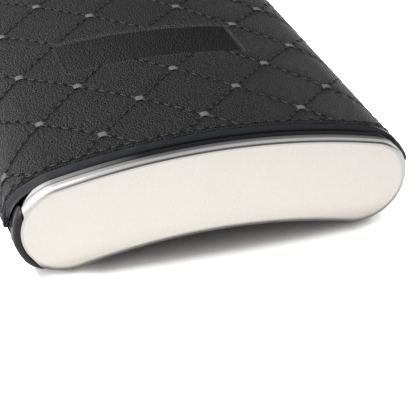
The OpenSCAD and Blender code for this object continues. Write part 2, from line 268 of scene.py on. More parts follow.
def leatherTopcoated():
    # split leather with a black topcoat: a fine pebble grain that glints, over a slow unevenness;
    # flattened and darker where a die has pressed it, and painted pale along the border of that as a
    # highlight on the pressed edge
    material, tree = newMaterial("leatherTopcoated")
    place = addNode(tree, "ShaderNodeTexCoord").outputs["Object"]
    pebbles = addNode(tree, "ShaderNodeTexVoronoi", {"feature": "F1", "Scale": 2100, "Randomness": 1.0},
                      {"Vector": place})
    pores = addNode(tree, "ShaderNodeTexNoise", {"Scale": 3600, "Detail": 2}, {"Vector": place})
    grain = addNode(tree, "ShaderNodeMath", {"operation": "MULTIPLY_ADD", 1: -1.2},
                    {0: pebbles.outputs["Distance"], 2: pores.outputs["Fac"]})
    waves = addNode(tree, "ShaderNodeTexNoise", {"Scale": 260, "Detail": 2}, {"Vector": place})
    drift = addNode(tree, "ShaderNodeTexNoise", {"Scale": 45, "Detail": 3}, {"Vector": place})
    grained = addNode(tree, "ShaderNodeMix",
                      {"data_type": "RGBA", 6: fromHex("100F0E"), 7: fromHex("191716")},
                      {0: drift.outputs["Fac"]})
    pressed = addNode(tree, "ShaderNodeAttribute", {"attribute_name": "pressed"}).outputs["Fac"]
    borderHighlight = addNode(tree, "ShaderNodeAttribute", {"attribute_name": "borderHighlight"}).outputs["Fac"]
    dark = addNode(tree, "ShaderNodeMix", {"data_type": "RGBA", 7: fromHex("100F0F")},
                   {0: pressed, 6: grained.outputs[2]})
    # painted highlight: pale grey 464646 mixed in along the pressed panel's border, standing in for light on
    # the die-pressed edge
    tone = addNode(tree, "ShaderNodeMix", {"data_type": "RGBA", 7: fromHex("464646")},
                   {0: borderHighlight, 6: dark.outputs[2]})
    relief = addNode(tree, "ShaderNodeMapRange", {"To Min": 1.0, "To Max": 0.5}, {"Value": pressed})
    gloss = addNode(tree, "ShaderNodeMapRange", {"To Min": 0.3, "To Max": 0.44},
                    {"Value": pores.outputs["Fac"]})
    swell = addNode(tree, "ShaderNodeBump", {"Strength": 0.5, "Distance": 0.0003},
                    {"Height": waves.outputs["Fac"]})
    bump = addNode(tree, "ShaderNodeBump", {"Distance": 0.0005},
                   {"Height": grain.outputs[0], "Normal": swell.outputs[0], "Strength": relief.outputs[0]})
    shader = addNode(tree, "ShaderNodeBsdfPrincipled", {"Specular IOR Level": 0.5, "Coat Weight": 0.3,
                                                        "Coat Roughness": 0.3},
                     {"Base Color": tone.outputs[2], "Roughness": gloss.outputs[0], "Normal": bump.outputs[0],
                      "Coat Normal": bump.outputs[0]})
    addNode(tree, "ShaderNodeOutputMaterial", links={"Surface": shader.outputs[0]})
    return material


def leatherEdgePainted():
    # turned and painted edge: soft-glossed blue-black, with painted light grey on its swell and painted shade
    # black in its fold
    material, tree = newMaterial("leatherEdgePainted")
    foldShadeSwellLight = addNode(tree, "ShaderNodeAttribute", {"attribute_name": "foldShadeSwellLight"})
    # painted shade and light: 050506 in the fold beside the steel stands for its shadow, 2F3137 on the swell
    # for the light it catches
    tone = addNode(tree, "ShaderNodeMix", {"data_type": "RGBA", 6: fromHex("050506"), 7: fromHex("2F3137")},
                   {0: foldShadeSwellLight.outputs["Fac"]})
    place = addNode(tree, "ShaderNodeTexCoord").outputs["Object"]
    ripple = addNode(tree, "ShaderNodeTexNoise", {"Scale": 420, "Detail": 3}, {"Vector": place})
    bump = addNode(tree, "ShaderNodeBump", {"Strength": 0.15, "Distance": 0.0002},
                   {"Height": ripple.outputs["Fac"]})
    gloss = addNode(tree, "ShaderNodeMapRange", {"To Min": 0.2, "To Max": 0.28},
                    {"Value": ripple.outputs["Fac"]})
    shader = addNode(tree, "ShaderNodeBsdfPrincipled", links={
        "Base Color": tone.outputs[2], "Roughness": gloss.outputs[0], "Normal": bump.outputs[0]})
    addNode(tree, "ShaderNodeOutputMaterial", links={"Surface": shader.outputs[0]})
    return material


def plainMaterial(name, colour, roughness, grain, depth):
    # thread, board or plastic: a fine even texture over one colour
    material, tree = newMaterial(name)
    place = addNode(tree, "ShaderNodeTexCoord").outputs["Object"]
    texture = addNode(tree, "ShaderNodeTexNoise", {"Scale": grain, "Detail": 3}, {"Vector": place})
    bump = addNode(tree, "ShaderNodeBump", {"Strength": 0.2, "Distance": depth},
                   {"Height": texture.outputs["Fac"]})
    gloss = addNode(tree, "ShaderNodeMapRange", {"To Min": roughness - 0.05, "To Max": roughness + 0.05},
                    {"Value": texture.outputs["Fac"]})
    shader = addNode(tree, "ShaderNodeBsdfPrincipled", {"Base Color": fromHex(colour)},
                     {"Roughness": gloss.outputs[0], "Normal": bump.outputs[0]})
    addNode(tree, "ShaderNodeOutputMaterial", links={"Surface": shader.outputs[0]})
    return material


satin = stainlessSatin()
polished = stainlessPolished()
leather = leatherTopcoated()
edgePaint = leatherEdgePainted()
tackThread = plainMaterial("threadTwistedSilver", "868684", 0.22, 2500, 0.0001)  # silver-grey twist
thread = plainMaterial("threadBondedNylon", "4C4C4F", 0.2, 2500, 0.0001)  # waxed twist that glints
holeShade = plainMaterial("needleHoleShade", "020202", 0.95, 2500, 0.0001)  # painted shade: a near-black disc standing in for the dark inside of a needle hole
board = plainMaterial("boardPressed", "2A2725", 0.85, 900, 0.0002)  # matt fibre board
polypropylene = plainMaterial("polypropyleneMoulded", "DAD6CC", 0.42, 700, 0.0001)  # milky, slightly waxy
silicone = plainMaterial("siliconeSheet", "D8D5CF", 0.55, 500, 0.0001)  # soft matt white

cadMaterials = {
    "steel_satin": satin,
    "steel_polished": polished,
    "leather_quilted": leather,
    "leather_hem": edgePaint,
    "board_liner": board,
    "cap_liner": polypropylene,
    "seal": silicone,
}
for part in frame["record"]["subparts"]:
    node = frame["nodes"][part["node"]]
    node.data.materials.clear()
    node.data.materials.append(cadMaterials[part["material_slot"]])
print("materials made")

pan = {
    "outside": 0.65,  # mm beyond the shell's face
    "rimRadius": 1.95,
    "height": 3.2,
    "inside": 0.05,
    "sheet": 0.6,
    "crown": 0.16,  # how far the plate falls towards its rim
    "crownWidth": 5.0,
    "crownRings": (1.0, 0.8, 0.62, 0.45, 0.3, 0.18, 0.08),  # shares of that width, from the flat part out
    "columns": 560,
    "rimSteps": 18,
}


def makePan(settings):
    rimStart = settings["outside"] - settings["rimRadius"]
    inward = np.array(settings["crownRings"]) * settings["crownWidth"]
    fall = settings["crown"] * (1 - inward / settings["crownWidth"]) ** 2
    firstTurn = math.atan(2 * settings["crown"] / settings["crownWidth"])
    turns = np.linspace(firstTurn, math.pi / 2, settings["rimSteps"])
    rimOffset = settings["outside"] - settings["rimRadius"] * (1 - np.sin(turns))
    rimHeight = settings["rimRadius"] * (1 - np.cos(turns))
    rimHeight += settings["crown"] * (1 - (turns - firstTurn) / (math.pi / 2 - firstTurn))
    offsets = np.concatenate([rimStart - inward, rimOffset,
                              [settings["outside"]] * 2, [settings["inside"]] * 2])
    heights = np.concatenate([fall, rimHeight, [settings["height"] / 2, settings["height"]],
                              [settings["height"], settings["sheet"]]])
    places = np.linspace(0, girth, settings["columns"], endpoint=False)
    points, _ = onFlask(places[:, None], heights[None, :], offsets[None, :])
    rows = len(heights)
    faces = gridFaces(settings["columns"], rows, True, False)
    plate = [i * rows for i in range(settings["columns"])]
    inside = [i * rows + rows - 1 for i in range(settings["columns"])]
    faces += [tuple(reversed(plate)), tuple(inside)]
    piece = meshPiece("bottomPan", points.reshape(-1, 3), faces, [satin, polished], "flask")
    satinRows = len(inward)
    for face in piece.data.polygons:
        row = min(v % rows for v in face.vertices)
        face.material_index = 1 if len(face.vertices) == 4 and row >= satinRows else 0
    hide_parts("bottom_pan")


makePan(pan)
print("bottom pan made")

# Leather wrap: one strip that overlaps itself on the left side
wrap = {
    "inside": 0.45,  # mm beyond the shell's face
    "outside": 1.15,
    "start": 6.25,  # mm from the bottom plate
    "end": 117.35,
    "cell": 0.6,  # mesh spacing, a whole share of the diamonds
    "diamond": 24.0,
    "middle": 61.8,  # height at which two seams cross on the axis
    "grooveDepth": 0.09,
    "grooveWidth": 1.1,
    "puff": 0.06,
    "reliefFade": 3.0,  # from the strip's edges to where the quilting is full
    "freeAngle": math.radians(180),  # on the left side's circle, counted over the front
    "underAngle": math.radians(158),
    "liftStart": math.radians(112),
    "liftEnd": math.radians(160),
    "lift": 1.22,
    "innerLift": 0.75,
    "edgeRound": 0.22,
    "edgeSteps": 5,
    "cornerDrop": 1.7,  # the free corner reaches this much lower
    "cornerWidth": 7.0,
    "underFall": 2.6,  # the end below it has slid down over the steel rim
    "underStart": math.radians(266),
    "underFull": math.radians(216),
    "underCurl": math.radians(157),  # past which its hem curls up again
    "curlShare": 0.3,  # of its fall that it regains
    "underPast": 2.4,  # mm of hem beyond the under end
    "fallHeight": 8.0,  # mm up from the strip's edge, over which both falls fade out
    "panelWidth": 46.8,
    "panelHeight": 16.2,
    "panelX": -1.8,
    "panelY": 53.4,
    "panelDepth": 0.34,
    "panelEdge": 0.7,
    "borderWidth": 0.7,
}
sideFace = kidney["sideRadius"] + kidney["leatherFace"]


def leftPlace(angle):
    # place, counted left from the front's middle, at an angle of the left side's circle
    return -(arcLengths[0] + sideFace * (angle - (math.pi - frontTurn)))


freeEdge = leftPlace(wrap["freeAngle"])
underEdge = girth + leftPlace(wrap["underAngle"])


def lapShare(place):
    # 0 where the strip lies on the shell, 1 at its free edge
    return smoothStep(leftPlace(wrap["liftStart"]), leftPlace(wrap["liftEnd"]), place)


def seamDistances(place, height):
    # distance to the nearest falling seam and to the nearest rising one
    spacing = wrap["diamond"] / math.sqrt(2)
    rise = (height - wrap["middle"]) / wrap["diamond"]
    runs = [place / wrap["diamond"] + rise, place / wrap["diamond"] - rise]
    return [np.abs(r - np.round(r)) * spacing for r in runs]


def panelMask(place, height, margin=0.0):
    # 1 inside the pressed panel, 0 outside
    across = wrap["panelWidth"] / 2 + margin - np.abs(place - wrap["panelX"])
    along = wrap["panelHeight"] / 2 + margin - np.abs(height - wrap["panelY"])
    return smoothStep(-wrap["panelEdge"] / 2, wrap["panelEdge"] / 2, np.minimum(across, along))


def panelBorderHighlight(place, height):
    # 1 on the line where the die has bitten, fading to 0 within the width of its border; the leather's colour
    # is painted pale there as a highlight
    inside = panelMask(place, height, wrap["borderWidth"] / 2)
    return inside * (1 - panelMask(place, height, -wrap["borderWidth"] / 2))


def quiltRelief(place, height):
    # how far the leather stands out: puffed in each diamond, drawn in at the seams, pressed in the panel
    distances = seamDistances(place, height)
    spacing = wrap["diamond"] / math.sqrt(2)
    swell = np.prod([np.sin(math.pi * np.clip(d / spacing, 0, 1)) for d in distances], axis=0)
    groove = wrap["grooveDepth"] * np.exp(-(np.minimum(*distances) / wrap["grooveWidth"]) ** 2)
    fade = wrap["reliefFade"]
    ends = smoothStep(0, fade, height - wrap["start"]) * smoothStep(0, fade, wrap["end"] - height)
    inPanel = panelMask(place, height)
    return (wrap["puff"] * np.sqrt(swell) - groove) * ends * (1 - inPanel) - wrap["panelDepth"] * inPanel


def underShare(place):
    # 0 where the strip's lower edge is level, 1 where its under end has slid down
    left = smoothStep(girth + leftPlace(wrap["underStart"]), girth + leftPlace(wrap["underFull"]), place)
    curl = smoothStep(girth + leftPlace(wrap["underCurl"]), underEdge + wrap["underPast"], place)
    return left - wrap["curlShare"] * curl


def edgeFall(place, height):
    # how far the strip's lower edge hangs at its free corner and at its under end
    corner = wrap["cornerDrop"] * (1 - smoothStep(freeEdge, freeEdge + wrap["cornerWidth"], place))
    under = wrap["underFall"] * underShare(place)
    return (corner + under) * (1 - smoothStep(wrap["start"], wrap["start"] + wrap["fallHeight"], height))


def onLeather(place, height, above=0.0):
    # points on the leather's face, and their outward normals
    offset = wrap["outside"] + quiltRelief(place, height) + wrap["lift"] * lapShare(place) + above
    return onFlask(place, height - edgeFall(place, height), offset)


def roundedRun(low, high, cell, phase, edge):
    # stations on a grid through phase, crowded at both rounded ends, and how far each one sinks
    turns = np.linspace(0, math.pi / 2, wrap["edgeSteps"])
    inset = edge * (1 - np.cos(turns))
    sink = edge * (1 - np.sin(turns))
    firstCell = math.ceil((low + 2 * edge - phase) / cell)
    lastCell = math.floor((high - 2 * edge - phase) / cell)
    grid = np.arange(firstCell, lastCell + 1) * cell + phase
    stations = np.concatenate([low + inset, grid, (high - inset)[::-1]])
    return stations, np.concatenate([sink, 0 * grid, sink[::-1]])


def makeWrap(settings):
    edge = settings["edgeRound"]
    places, placeSink = roundedRun(freeEdge, underEdge, settings["cell"], 0, edge)
    heights, heightSink = roundedRun(settings["start"], settings["end"], settings["cell"],
                                     settings["middle"], edge)
    s, y = places[:, None], heights[None, :]
    outer, _ = onLeather(s, y, -placeSink[:, None] - heightSink[None, :])
    y = heights[None, [-1, 0]]
    inner, _ = onFlask(s, y - edgeFall(s, y), settings["inside"] + settings["innerLift"] * lapShare(s))
    points = np.concatenate([outer, inner], 1)
    columns, rows, loop = len(places), len(heights), points.shape[1]
    falling, rising = seamDistances((places[:-1, None] + places[1:, None]) / 2,
                                    (heights[None, :-1] + heights[None, 1:]) / 2)
    faces = []
    for i in range(columns - 1):
        for j in range(rows - 1):
            # each cell is split along its nearest seam, so that the grooves stay straight
            a, b = i * loop + j, (i + 1) * loop + j
            if falling[i, j] < rising[i, j]:
                faces += [(a, b, a + 1), (b, b + 1, a + 1)]
            else:
                faces += [(a, b, b + 1), (a, b + 1, a + 1)]
        a, b = i * loop, (i + 1) * loop
        for j in range(rows - 1, loop):
            faces.append((a + j, b + j, b + (j + 1) % loop, a + (j + 1) % loop))
    faces += [tuple(range(loop)), tuple(range(columns * loop - 1, (columns - 1) * loop - 1, -1))]
    piece = meshPiece("leatherWrap", points.reshape(-1, 3), faces, [leather], "flask",
                      sharp=60)
    # the second layer places the painted highlight along the panel's border
    for name, measure in (("pressed", panelMask), ("borderHighlight", panelBorderHighlight)):
        shares = np.zeros((columns, loop))
        shares[:, :rows] = measure(s, heights[None, :])
        writeLayer(piece, name, shares)
    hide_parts("leather_wrap", "seam_overlap")
    return piece


wrapPiece = makeWrap(wrap)
print("leather wrap made: %d faces" % len(wrapPiece.data.polygons))

hem = {
    "inside": 0.06,  # mm beyond the shell's face
    "outside": 1.05,
    "start": 3.2,
    "end": 120.4,
    "height": 3.02,
    "roundAcross": 0.62,
    "roundAlong": 2.75,
    "flatShare": 0.38,  # of that length lies flat before the edge swells
    "steps": 12,
    "foldEnd": 0.2,  # shares of that length between which the painted shade, black in its fold, turns to painted light, grey on its swell
    "foldFade": 0.75,
    "short": 1.6,  # the hem stops this much before the leather's free edge
    "spread": 1.3,  # where the strip rounds the right side the hem bulges and hides the steel wall
    "spreadTurn": 0.225,  # of that side's arc
    "spreadWidth": 6.4,
    "endRound": 1.8,
    "endThin": 0.02,  # its last section's size against the full one, squared
    "spacing": 0.3,
    "ripple": 0.03,
    "rippleWaves": ((0.9, 0.0), (0.37, 1.3)),  # radians a millimetre, and where each wave starts
    "hidden": 3,  # points on the section's inner side, before it swells
}
edgeRun = np.linspace(0, 1, hem["steps"])  # along the part of the section that swells


def hemSections(settings):
    # the hem's section as (offset, height): plain, spread, down on the steel rim, and pressed over that rim.
    # Each starts with its hidden points, swells round its lower edge and ends with four over its top
    turns = np.linspace(0, math.pi / 2, settings["steps"])
    quarter = np.stack([np.sin(turns), 1 - np.cos(turns)], -1)
    swell = np.stack([smoothStep(settings["flatShare"], 1, edgeRun), edgeRun], -1)
    inside, outside, low = settings["inside"], settings["outside"], settings["start"]
    top = low + settings["height"]
    across = settings["roundAcross"]
    plain = np.concatenate([
        [(inside, top - 0.6), (inside, low + 1.0), (inside, low + 0.25)],
        np.array([outside - across, low]) + np.array([across, settings["roundAlong"]]) * swell,
        [(outside, top - 0.2), (outside - 0.05, top - 0.1), (outside - 0.25, top), (inside, top)],
    ])
    spread = np.concatenate([
        [(inside, top - 0.6), (0.68, 2.2), (0.6, 1.5)],
        np.array([0.42, 0.95]) + np.array([0.93, 2.1]) * quarter,
        [(1.32, 5.2), (1.15, 6.0), (outside - 0.25, top), (inside, top)],
    ])
    lowered = np.concatenate([
        [(0.7, 3.6), (0.68, 2.2), (0.6, 1.5)],
        np.array([0.42, 1.05]) + np.array([0.72, 1.6]) * quarter,
        [(1.14, 3.2), (1.12, 4.2), (0.9, 4.4), (0.72, 4.4)],
    ])
    pressed = np.concatenate([
        [(0.72, 2.8), (0.68, 1.7), (0.1, 0.5)],
        np.array([-0.42, -0.04]) + np.array([1.54, 1.3]) * quarter,
        [(1.12, 2.3), (1.12, 3.4), (0.9, 3.6), (0.72, 3.6)],
    ])
    return plain, spread, lowered, pressed


def makeHem(name, nodeName, settings, isTop):
    first, last = freeEdge + settings["short"], underEdge + wrap["underPast"]
    places = np.linspace(first, last, round((last - first) / settings["spacing"]))
    plain, spread, lowered, pressed = hemSections(settings)
    bottom = 0 if isTop else 1
    slide = 2 * bottom * underShare(places)[:, None, None]
    slide, fold = np.clip(slide, 0, 1), np.clip(slide - 1, 0, 1)
    fromRight = (places - arcStarts[1] - settings["spreadTurn"] * arcLengths[1]) / settings["spreadWidth"]
    wide = bottom * np.minimum(1, settings["spread"] * np.exp(-fromRight ** 2))[:, None, None]
    section = plain * (1 - slide - wide) + spread * wide + lowered * (slide - fold) + pressed * fold
    middle = section.mean(1, keepdims=True)
    pinch = 1 - (1 - np.clip(np.minimum(places - first, last - places) / settings["endRound"], 0, 1)) ** 2
    pinch = np.sqrt(np.maximum(pinch, settings["endThin"]))
    wave = settings["ripple"] * sum(np.sin(places * rate + start) for rate, start in settings["rippleWaves"])
    section = middle + (section - middle) * pinch[:, None, None]
    offsets = section[..., 0] + wave[:, None] * (section[..., 0] > middle[..., 0])
    heights = settings["start"] + settings["end"] - section[..., 1] if isTop else section[..., 1]
    points, _ = onFlask(places[:, None], heights, offsets + wrap["lift"] * lapShare(places)[:, None])
    loop = section.shape[1]
    faces = gridFaces(len(places), loop, False, True)
    faces += [tuple(range(loop)), tuple(range(len(places) * loop - 1, (len(places) - 1) * loop - 1, -1))]
    if isTop:
        faces = [tuple(reversed(f)) for f in faces]
    piece = meshPiece(name, points.reshape(-1, 3), faces, [edgePaint], "flask", sharp=60)
    # per point of the section: painted shade, black in the fold beside the steel, and painted light, grey
    # from where the edge swells
    foldShadeSwellLight = np.zeros(loop)
    swellStart, swellEnd = settings["hidden"], settings["hidden"] + settings["steps"]
    foldShadeSwellLight[swellStart:swellEnd] = smoothStep(settings["foldEnd"], settings["foldFade"], edgeRun)
    foldShadeSwellLight[swellEnd:] = 1
    writeLayer(piece, "foldShadeSwellLight", np.tile(foldShadeSwellLight, len(places)))
    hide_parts(nodeName)


makeHem("hemBottom", "hem_bottom", hem, False)
makeHem("hemTop", "hem_top", hem, True)
print("hems made")


def pathMesh(name, paths):
    # a mesh of open polylines, each given as points in millimetres and their outward normals
    points = np.concatenate([p for p, _ in paths])
    normals = np.concatenate([n for _, n in paths])
    edges, start = [], 0
    for path, _ in paths:
        edges += [(start + i, start + i + 1) for i in range(len(path) - 1)]
        start += len(path)
    mesh = bpy.data.meshes.new(name)
    mesh.from_pydata((points * millimetre).tolist(), edges, [])
    mesh.attributes.new("outward", "FLOAT_VECTOR", "POINT").data.foreach_set("vector", normals.ravel())
    return mesh


def newTree(name, sockets):
    # a Geometry Nodes group with a geometry input and output and the named inputs
    tree = bpy.data.node_groups.new(name, "GeometryNodeTree")
    tree.interface.new_socket("Paths", in_out="INPUT", socket_type="NodeSocketGeometry")
    for socket, kind in sockets.items():
        tree.interface.new_socket(socket, in_out="INPUT", socket_type="NodeSocket" + kind)
    tree.interface.new_socket("Result", in_out="OUTPUT", socket_type="NodeSocketGeometry")
    return tree, tree.nodes.new("NodeGroupInput")


def endTree(tree, entry, geometry):
    # makes the result real, smooth and of one material
    real = addNode(tree, "GeometryNodeRealizeInstances", links={"Geometry": geometry})
    smooth = addNode(tree, "GeometryNodeSetShadeSmooth", links={"Geometry": real.outputs[0]})
    dressed = addNode(tree, "GeometryNodeSetMaterial",
                      links={"Geometry": smooth.outputs[0], "Material": entry.outputs["Material"]})
    addNode(tree, "NodeGroupOutput", links={"Result": dressed.outputs[0]})
    return tree


def stitchTree():
    # one short thread bow at each step along every path
    tree, entry = newTree("stitchesAlongSeams", {"Step": "Float", "Length": "Float", "Width": "Float",
                                                 "Seed": "Int", "Material": "Material"})
    bow = addNode(tree, "GeometryNodeMeshUVSphere", {"Segments": 6, "Rings": 5, "Radius": 0.5})
    size = addNode(tree, "ShaderNodeCombineXYZ",
                   links={"X": entry.outputs["Width"], "Y": entry.outputs["Width"],
                          "Z": entry.outputs["Length"]})
    laid = addNode(tree, "GeometryNodeTransform", {"Rotation": (0, math.pi / 2, 0)},
                   {"Geometry": bow.outputs["Mesh"], "Scale": size.outputs[0]})
    return scatterTree(tree, entry, laid.outputs[0])


def holeTree():
    # a drawn-out needle hole half a step on from each bow, shared by two of them, painted as a flat
    # near-black disc that stands in for the hole's shade
    tree, entry = newTree("holesAlongSeams", {"Step": "Float", "Length": "Float", "Width": "Float",
                                              "Seed": "Int", "Material": "Material"})
    hole = addNode(tree, "GeometryNodeMeshCircle", {"fill_type": "NGON", "Vertices": 8, "Radius": 0.5})
    size = addNode(tree, "ShaderNodeCombineXYZ", {"Z": 1.0},
                   {"X": entry.outputs["Length"], "Y": entry.outputs["Width"]})
    shift = addNode(tree, "ShaderNodeMath", {"operation": "MULTIPLY", 1: 0.5}, {0: entry.outputs["Step"]})
    place = addNode(tree, "ShaderNodeCombineXYZ", links={"X": shift.outputs[0]})
    laid = addNode(tree, "GeometryNodeTransform", links={
        "Geometry": hole.outputs["Mesh"], "Scale": size.outputs[0], "Translation": place.outputs[0]})
    return scatterTree(tree, entry, laid.outputs[0])


def scatterTree(tree, entry, shape):
    # sets the shape at each step along every path, upright on the leather and never quite alike
    curve = addNode(tree, "GeometryNodeMeshToCurve", links={"Mesh": entry.outputs["Paths"]})
    steps = addNode(tree, "GeometryNodeResampleCurve", {"mode": "LENGTH"},
                    {"Curve": curve.outputs[0], "Length": entry.outputs["Step"]})
    tangent = tree.nodes.new("GeometryNodeInputTangent")
    outward = addNode(tree, "GeometryNodeInputNamedAttribute",
                      {"data_type": "FLOAT_VECTOR", "Name": "outward"})
    alongPath = addNode(tree, "FunctionNodeAlignRotationToVector", {"axis": "X"},
                        {"Vector": tangent.outputs[0]})
    upright = addNode(tree, "FunctionNodeAlignRotationToVector", {"axis": "Z", "pivot_axis": "X"},
                      {"Rotation": alongPath.outputs[0], "Vector": outward.outputs[0]})
    most, least = stitching["sway"], tuple(-angle for angle in stitching["sway"])
    sway = addNode(tree, "FunctionNodeRandomValue", {"data_type": "FLOAT_VECTOR", 0: least, 1: most},
                   {"Seed": entry.outputs["Seed"]})
    turned = addNode(tree, "FunctionNodeRotateRotation", {"rotation_space": "LOCAL"},
                     {"Rotation": upright.outputs[0], "Rotate By": sway.outputs[0]})
    growth = addNode(tree, "FunctionNodeRandomValue", {
        "data_type": "FLOAT_VECTOR", 0: stitching["smallest"], 1: stitching["largest"]},
        {"Seed": entry.outputs["Seed"]})
    placed = addNode(tree, "GeometryNodeInstanceOnPoints",
                     links={"Points": steps.outputs[0], "Instance": shape, "Rotation": turned.outputs[0],
                            "Scale": growth.outputs[0]})
    return endTree(tree, entry, placed.outputs[0])


def cordTree():
    # a round cord along every path
    tree, entry = newTree("cordAlongPaths", {"Radius": "Float", "Sides": "Int", "Material": "Material"})
    curve = addNode(tree, "GeometryNodeMeshToCurve", links={"Mesh": entry.outputs["Paths"]})
    ring = addNode(tree, "GeometryNodeCurvePrimitiveCircle",
                   links={"Resolution": entry.outputs["Sides"], "Radius": entry.outputs["Radius"]})
    cord = addNode(tree, "GeometryNodeCurveToMesh", {"Fill Caps": True},
                   {"Curve": curve.outputs[0], "Profile Curve": ring.outputs[0]})
    return endTree(tree, entry, cord.outputs[0])


def growPiece(name, paths, tree, inputs, body):
    # runs the node tree over the paths and keeps the result as a plain mesh
    source = bpy.data.objects.new(name + "Paths", pathMesh(name + "Paths", paths))
    scene.collection.objects.link(source)
    modifier = source.modifiers.new("grow", "NODES")
    modifier.node_group = tree
    for item in tree.interface.items_tree:
        if item.item_type == "SOCKET" and item.in_out == "INPUT" and item.name in inputs:
            modifier[item.identifier] = inputs[item.name]
    depsgraph = bpy.context.evaluated_depsgraph_get()
    mesh = bpy.data.meshes.new_from_object(source.evaluated_get(depsgraph), depsgraph=depsgraph)
    mesh.name = name
    bpy.data.objects.remove(source)
    piece = bpy.data.objects.new(name, mesh)
    scene.collection.objects.link(piece)
    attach(piece, body)
    print("%s made: %d faces" % (name, len(mesh.polygons)))


stitching = {
    "step": 2.8,  # mm
    "length": 2.2,
    "width": 0.42,
    "above": 0.02,  # the thread's axis over the leather's face
    "holeLength": 1.5,
    "holeWidth": 0.86,
    "holeAbove": 0.1,
    "edgeInset": 1.25,  # the two long rows from the leather's edges
    "freeInset": 2.0,  # the row along the free edge
    "clear": 1.0,  # between those rows and the slanting seams
    "tucked": 0.8,  # the seams end this much before that edge covers them
    "sample": 0.6,
    "fewest": 4,  # a run of no more samples than this isn't sewn
    "sway": (0.08, 0.05, 0.12),  # radians that a stitch may turn either way
    "smallest": (0.9, 0.92, 0.92),  # shares of its size
    "largest": (1.08, 1.08, 1.08),
    "tackWidth": 3.0,
    "tackPitch": 0.22,
    "tackStrokes": 8,
    "tackPoint": 0.75,  # its first and last stroke against its widest
    "tackRadius": 0.15,
    "tackSides": 5,
    "tackSteps": 5,  # along each stroke
    "tackDive": 2.2,  # in radii, from a stroke's crown to its ends
    "seed": 7,
}
laidEnd = girth + freeEdge - stitching["tucked"]  # the strip lies under its own free edge from here on


def keptRuns(place, height, keep):
    # splits a line at what isn't kept, and drops the scraps
    cuts = np.flatnonzero(np.diff(keep.astype(int))) + 1
    runs = [r for r in np.split(np.arange(len(place)), cuts) if keep[r[0]] and len(r) > stitching["fewest"]]
    return [(place[r], height[r]) for r in runs]


def seamLines(settings):
    # the slanting seams as lines of (place, height), clear of the panel and of the edge rows
    low = wrap["start"] + settings["edgeInset"] + settings["clear"]
    high = wrap["end"] - settings["edgeInset"] - settings["clear"]
    first, last = freeEdge + settings["freeInset"] + settings["clear"], laidEnd
    reach = math.ceil((girth + wrap["end"]) / wrap["diamond"])
    lines = []
    for slope in (-1, 1):
        for n in range(-reach, reach + 1):
            height = np.arange(low, high, settings["sample"] / math.sqrt(2))
            place = n * wrap["diamond"] + slope * (height - wrap["middle"])
            inside = (place > first) & (place < last)
            clear = panelMask(place, height, settings["clear"]) < 0.5
            if inside.any():
                lines += keptRuns(place, height, inside & clear)
    return lines


def edgeLines(settings):
    # the rows along both long edges and the one along the free edge
    low, high = wrap["start"] + settings["edgeInset"], wrap["end"] - settings["edgeInset"]
    place = np.arange(freeEdge + settings["freeInset"], laidEnd, settings["sample"])
    height = np.arange(low, high, settings["sample"])
    return [(place, low + 0 * place), (place, high + 0 * place), (place[0] + 0 * height, height)]


def crossings(settings):
    # where two slanting seams cross, clear of the panel and of the edge rows
    low = wrap["start"] + settings["edgeInset"] + 2 * settings["clear"]
    high = wrap["end"] - settings["edgeInset"] - 2 * settings["clear"]
    first = freeEdge + settings["freeInset"] + settings["tackWidth"]
    last = laidEnd - settings["tackWidth"] / 2
    half = wrap["diamond"] / 2
    found = []
    for i in range(math.ceil(freeEdge / half), math.floor(laidEnd / half) + 1):
        for j in range(math.ceil((low - wrap["middle"]) / half),
                       math.floor((high - wrap["middle"]) / half) + 1):
            place, height = i * half, j * half + wrap["middle"]
            inRun = first < place < last
            isBare = panelMask(place, height, settings["tackWidth"] / 2) < 0.5
            if (i + j) % 2 == 0 and inRun and isBare:
                found.append((place, height))
    return found


def tackLine(place, height, settings):
    # one satin-stitched bar as a path: each stroke bows over the leather and dives in at its ends
    strokes, steps = settings["tackStrokes"], settings["tackSteps"]
    t = np.arange(strokes * steps + 1) / steps
    side = 2 * np.abs(t % 2 - 1) - 1
    taper = np.maximum(settings["tackPoint"], 1 - np.abs(2 * t / strokes - 1))
    reach = place + side * taper * settings["tackWidth"] / 2
    rise = height + (t - strokes / 2) * settings["tackPitch"]
    bow = settings["tackRadius"] * (1 - settings["tackDive"] * side ** 4)
    return onLeather(reach, rise, bow + settings["above"])


def makeStitches(settings):
    lines = seamLines(settings) + edgeLines(settings)
    inputs = {"Step": settings["step"] * millimetre, "Length": settings["length"] * millimetre,
              "Width": settings["width"] * millimetre, "Seed": settings["seed"], "Material": thread}
    growPiece("seamStitches", [onLeather(s, y, settings["above"]) for s, y in lines], stitchTree(), inputs,
              "flask")
    inputs.update({"Length": settings["holeLength"] * millimetre, "Width": settings["holeWidth"] * millimetre,
                   "Material": holeShade})
    growPiece("needleHoles", [onLeather(s, y, settings["holeAbove"]) for s, y in lines], holeTree(), inputs,
              "flask")
    tacks = [tackLine(place, height, settings) for place, height in crossings(settings)]
    inputs = {"Radius": settings["tackRadius"] * millimetre, "Sides": settings["tackSides"],
              "Material": tackThread}
    growPiece("barTacks", tacks, cordTree(), inputs, "flask")


makeStitches(stitching)

screw = {
    "pitch": 1.3,  # mm a turn, as the cap rises
    "turnSteps": 48,
    "ridgeSides": 8,
    "spoutRadius": 8.0,
    "spoutStart": 62.1,  # mm along the flask, from its middle
    "spoutTurns": 1.9,
    "spoutRidge": 0.34,
    "linerRadius": 8.95,
    "linerStart": 62.0,
    "linerTurns": 1.2,
    "linerRidge": 0.26,
}


